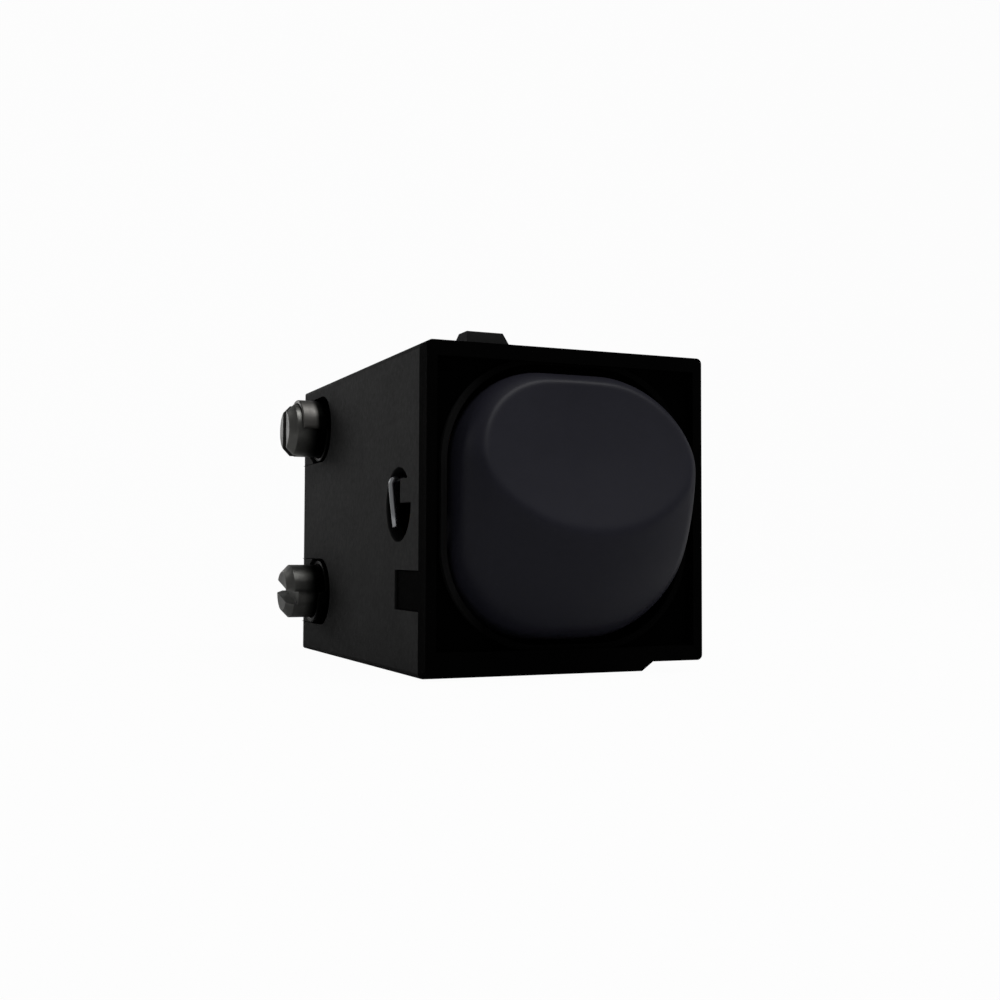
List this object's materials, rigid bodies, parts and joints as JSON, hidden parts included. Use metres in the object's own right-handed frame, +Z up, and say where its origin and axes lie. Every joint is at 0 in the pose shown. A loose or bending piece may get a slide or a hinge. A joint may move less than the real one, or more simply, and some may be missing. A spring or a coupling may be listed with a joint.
{
  "type": "pushbutton switch",
  "caption": "Wall plate pushbutton module: a scooped rocking button in a square frame, sprung back, working a changeover contact with screw terminals.",
  "frame": {"origin": "centre of the front rim's plane, where the module meets its wall plate", "axes": "+Y runs into the wall, from the front rim to the wire entries; +X is to the right and +Z is up, seen from the front"},
  "size_m": [0.0264, 0.0368, 0.0238],
  "materials": {
    "case": "matte moulded",
    "frame": "fine matte",
    "button": "satin",
    "base": "moulded",
    "nylon": "natural",
    "pin_steel": "bright",
    "spring_steel": "drawn",
    "contact_bronze": "rolled strip",
    "contact_silver": "fine silver",
    "terminal_nickel": "dull nickel plated",
    "screw_steel": "zinc plated"
  },
  "bodies": {
    "case": {"housing": "case", "front_frame": "frame", "rear_cover": "case", "contact_base": "base", "common_bracket": "contact_bronze", "upper_contact": "contact_bronze", "lower_contact": "contact_bronze", "upper_tip": "contact_silver", "lower_tip": "contact_silver", "barrel_top_left": "terminal_nickel", "barrel_top_right": "terminal_nickel", "barrel_bottom_left": "terminal_nickel", "barrel_bottom_right": "terminal_nickel"},
    "button": {"button": "button", "pivot_pin": "pin_steel", "return_spring": "spring_steel", "plunger_spring": "spring_steel"},
    "plunger": {"plunger": "nylon"},
    "rocker": {"rocker_contact": "contact_bronze", "upper_moving_tip": "contact_silver", "lower_moving_tip": "contact_silver"},
    "screw_tl": {"screw_top_left": "screw_steel"},
    "screw_tr": {"screw_top_right": "screw_steel"},
    "screw_bl": {"screw_bottom_left": "screw_steel"},
    "screw_br": {"screw_bottom_right": "screw_steel"}
  },
  "joints": [
    {"name": "button_rock", "type": "hinge", "parent": "case", "child": "button", "pos_m": [0, 0.0046, 0.0001], "axis": [-1, 0, 0], "range_deg": [0, 7], "stiffness_Nm_per_rad": 0.03, "springref_deg": -8.59, "deforming": ["return_spring"]},
    {"name": "plunger_slide", "type": "slide", "parent": "button", "child": "plunger", "axis": [0, -0.9981, -0.061], "range_m": [0, 0.001], "stiffness_N_per_m": 300, "springref_m": -0.002, "deforming": ["plunger_spring"]},
    {"name": "rocker_tilt", "type": "hinge", "parent": "case", "child": "rocker", "pos_m": [0, 0.0192, 0.0001], "axis": [1, 0, 0], "range_deg": [0, 12]},
    {"name": "screw_top_left_travel", "type": "slide", "parent": "case", "child": "screw_tl", "axis": [1, 0, 0], "range_m": [0, 0.0015]},
    {"name": "screw_top_right_travel", "type": "slide", "parent": "case", "child": "screw_tr", "axis": [-1, 0, 0], "range_m": [0, 0.0015]},
    {"name": "screw_bottom_left_travel", "type": "slide", "parent": "case", "child": "screw_bl", "axis": [1, 0, 0], "range_m": [0, 0.0015]},
    {"name": "screw_bottom_right_travel", "type": "slide", "parent": "case", "child": "screw_br", "axis": [-1, 0, 0], "range_m": [0, 0.0015]}
  ],
  "couplings": [
    {"joint": "rocker_tilt", "follows": "button_rock", "ratio": 1.7143}
  ]
}
